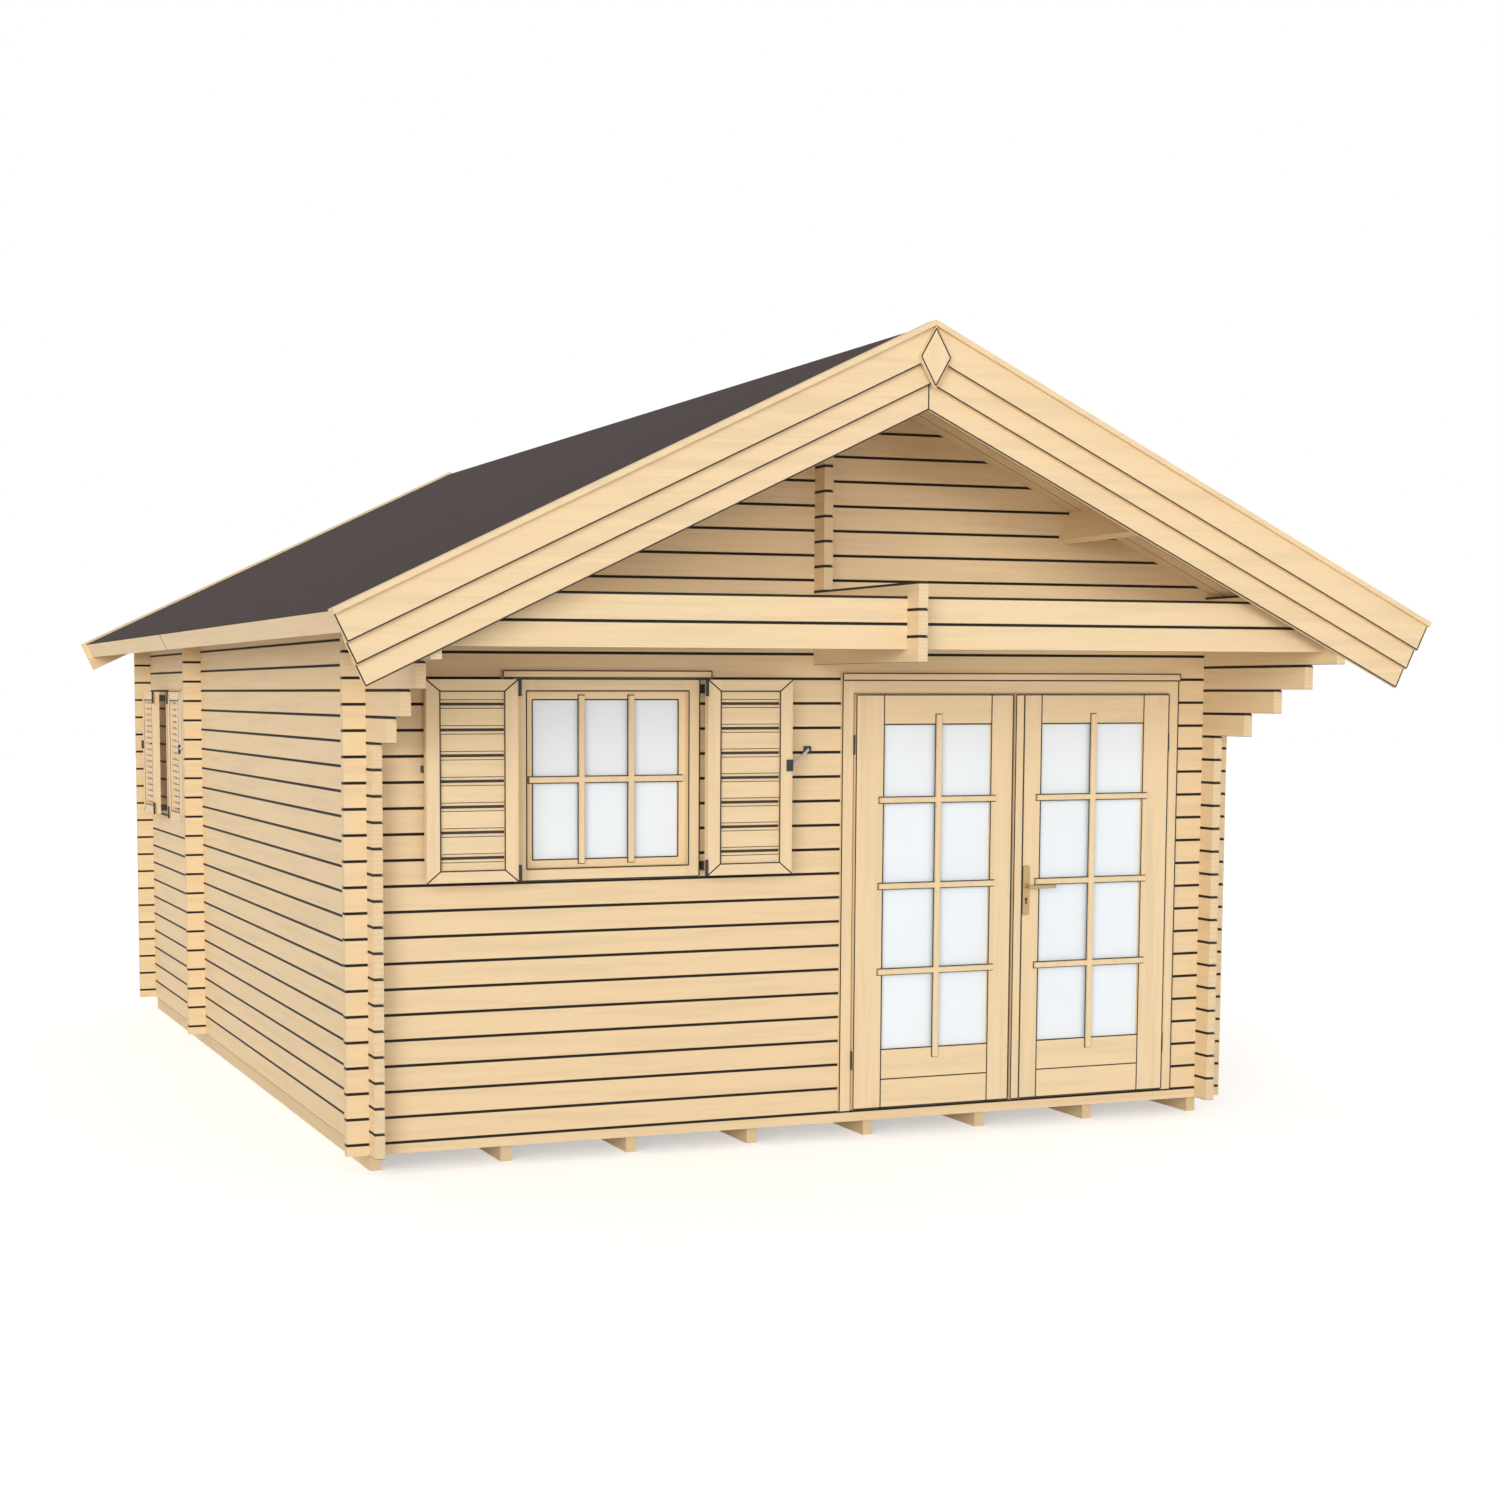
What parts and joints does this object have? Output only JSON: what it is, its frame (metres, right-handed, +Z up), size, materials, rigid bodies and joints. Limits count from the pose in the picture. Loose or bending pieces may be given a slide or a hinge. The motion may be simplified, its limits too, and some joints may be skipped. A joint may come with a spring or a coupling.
{
  "type": "log garden house",
  "caption": "Timber log garden house with interlocked corner logs, a felted gable roof reaching forward on stepped corbels, glazed double doors and shuttered windows.",
  "frame": {"origin": "on the ground under the middle of the roof", "axes": "+Y from the front to the rear along the ridge, +X to the right seen from the front, +Z up"},
  "size_m": [5.1168, 6.991, 3.6288],
  "materials": {
    "log_timber": "planed, untreated",
    "joinery_timber": "planed, untreated",
    "roof_boards": "planed, untreated",
    "floor_timber": "sawn",
    "roof_felt": "mineral felt, matt",
    "clear_glass": "clear",
    "black_iron": "black, satin",
    "handle_brass": "satin"
  },
  "bodies": {
    "house": {"centre_beam": "log_timber", "door_frame": "joinery_timber", "door_head_cap": "joinery_timber", "door_hinge_pins": "black_iron", "door_stops": "joinery_timber", "floor_joists": "floor_timber", "front_bargeboard_lower": "joinery_timber", "front_bargeboard_middle": "joinery_timber", "front_bargeboard_upper": "joinery_timber", "front_edge_trim": "joinery_timber", "front_gable": "log_timber", "front_room_floor": "floor_timber", "front_shutters": "joinery_timber", "front_sill_log": "log_timber", "front_wall_left": "log_timber", "front_wall_right": "log_timber", "front_window_cap": "joinery_timber", "front_window_frame": "joinery_timber", "front_window_glass": "clear_glass", "front_window_sash": "joinery_timber", "gable_stub_logs": "log_timber", "left_fascia": "joinery_timber", "left_wall": "log_timber", "mid_purlins": "log_timber", "partition_gable": "log_timber", "partition_left": "log_timber", "partition_right": "log_timber", "partition_sill_log": "log_timber", "rear_bargeboard": "joinery_timber", "rear_edge_trim": "joinery_timber", "rear_gable": "log_timber", "rear_room_floor": "floor_timber", "rear_wall": "log_timber", "ridge_diamond": "joinery_timber", "ridge_purlin": "log_timber", "right_fascia": "joinery_timber", "right_wall": "log_timber", "roof_covering": "roof_felt", "roof_deck": "roof_boards", "shutter_hinges": "black_iron", "shutter_stays": "black_iron", "side_shutters": "joinery_timber", "side_window_frame": "joinery_timber", "side_window_glass": "clear_glass", "side_window_sash": "joinery_timber", "tie_beam": "log_timber"},
    "left_leaf": {"left_door_leaf": "joinery_timber", "left_door_glass": "clear_glass"},
    "right_leaf": {"right_door_leaf": "joinery_timber", "right_door_glass": "clear_glass", "door_handle": "handle_brass"}
  },
  "joints": [
    {"name": "left_leaf_swing", "type": "hinge", "parent": "house", "child": "left_leaf", "pos_m": [0.181, -2.4315, 1.1], "axis": [0, 0, -1], "range_deg": [0, 100]},
    {"name": "right_leaf_swing", "type": "hinge", "parent": "house", "child": "right_leaf", "pos_m": [1.893, -2.4315, 1.1], "axis": [0, 0, 1], "range_deg": [0, 100]}
  ]
}
